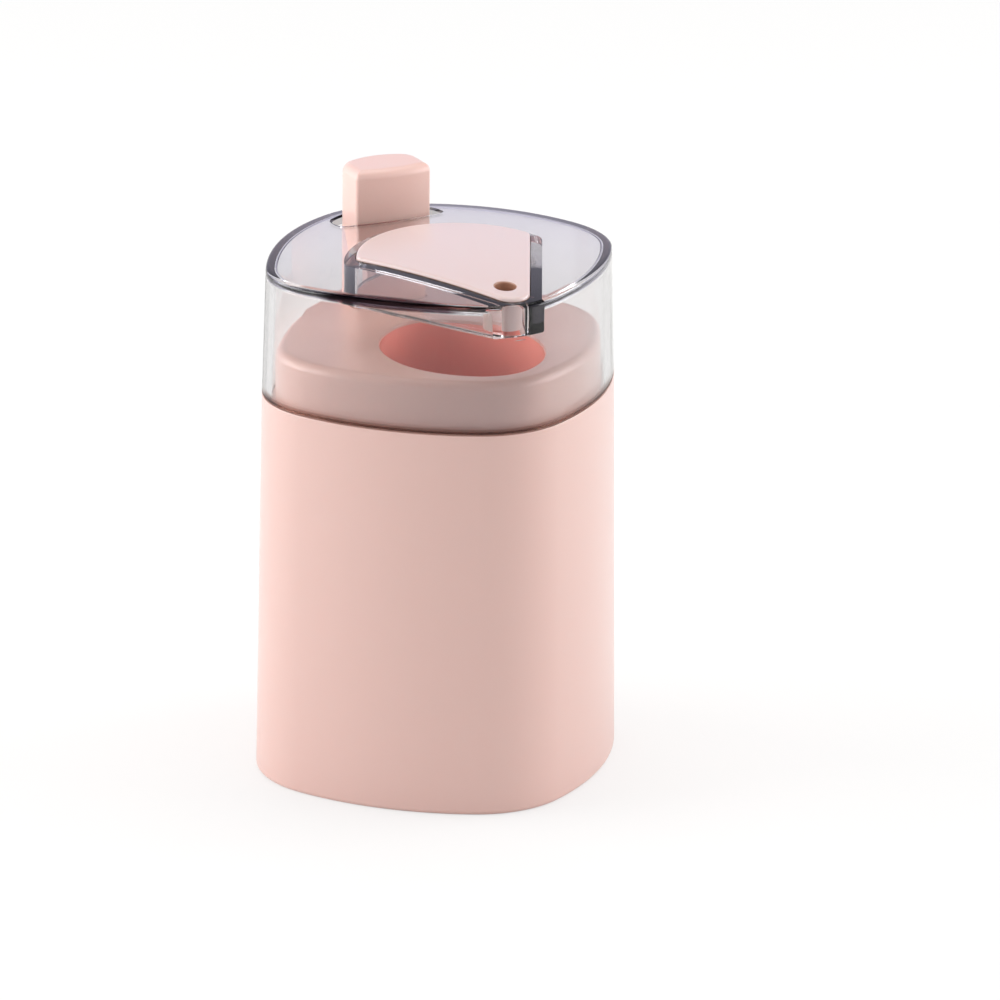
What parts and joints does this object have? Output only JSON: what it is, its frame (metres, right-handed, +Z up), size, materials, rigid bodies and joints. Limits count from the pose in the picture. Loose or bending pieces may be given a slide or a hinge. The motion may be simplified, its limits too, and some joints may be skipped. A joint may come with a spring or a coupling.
{
  "type": "push-button toothpick dispenser",
  "caption": "Bowed square toothpick dispenser: pressing the corner button rocks a lever that lifts one toothpick through the small outlet in the clear lift-off lid.",
  "frame": {"origin": "centre of the body's footprint on the table", "axes": "+Z up; the flat sides face along X and Y; the outlet corner lies towards +X -Y and the button corner towards -X +Y"},
  "size_m": [0.055, 0.055, 0.0925],
  "materials": {
    "body": "satin moulded plastic, pale pink",
    "magazine": "glossy moulded plastic, pink",
    "button": "semi-gloss moulded plastic, pale pink",
    "lever": "matt moulded plastic, natural white",
    "spring_wire": "drawn spring steel wire",
    "pin": "ground steel",
    "clear_lid": "clear moulded plastic with a grey tint"
  },
  "bodies": {
    "base": {"body_shell": "body", "base_plate": "body", "toothpick_magazine": "magazine", "lever_pin": "pin", "return_spring": "spring_wire"},
    "button": {"button": "button"},
    "rocker": {"rocker_lever": "lever"},
    "lifter": {"lifter_rod": "lever"},
    "lid": {"lid_cover": "clear_lid", "outlet_plate": "button"}
  },
  "joints": [
    {"name": "button_press", "type": "slide", "parent": "base", "child": "button", "axis": [0, 0, -1], "range_m": [0, 0.0054], "stiffness_N_per_m": 150, "springref_m": -0.002, "deforming": ["return_spring"]},
    {"name": "rocker_turn", "type": "hinge", "parent": "base", "child": "rocker", "pos_m": [0.00042, -0.00042, 0.0082], "axis": [-0.7071, -0.7071, 0], "range_deg": [0, 18.6]},
    {"name": "lifter_rise", "type": "slide", "parent": "base", "child": "lifter", "axis": [0, 0, 1], "range_m": [0, 0.00714]},
    {"name": "lid_lift", "type": "slide", "parent": "base", "child": "lid", "axis": [0, 0, 1], "range_m": [0, 0.032]}
  ],
  "couplings": [
    {"joint": "rocker_turn", "follows": "button_press", "rad_per_m": 60.059},
    {"joint": "lifter_rise", "follows": "button_press", "ratio": 1.3211}
  ]
}
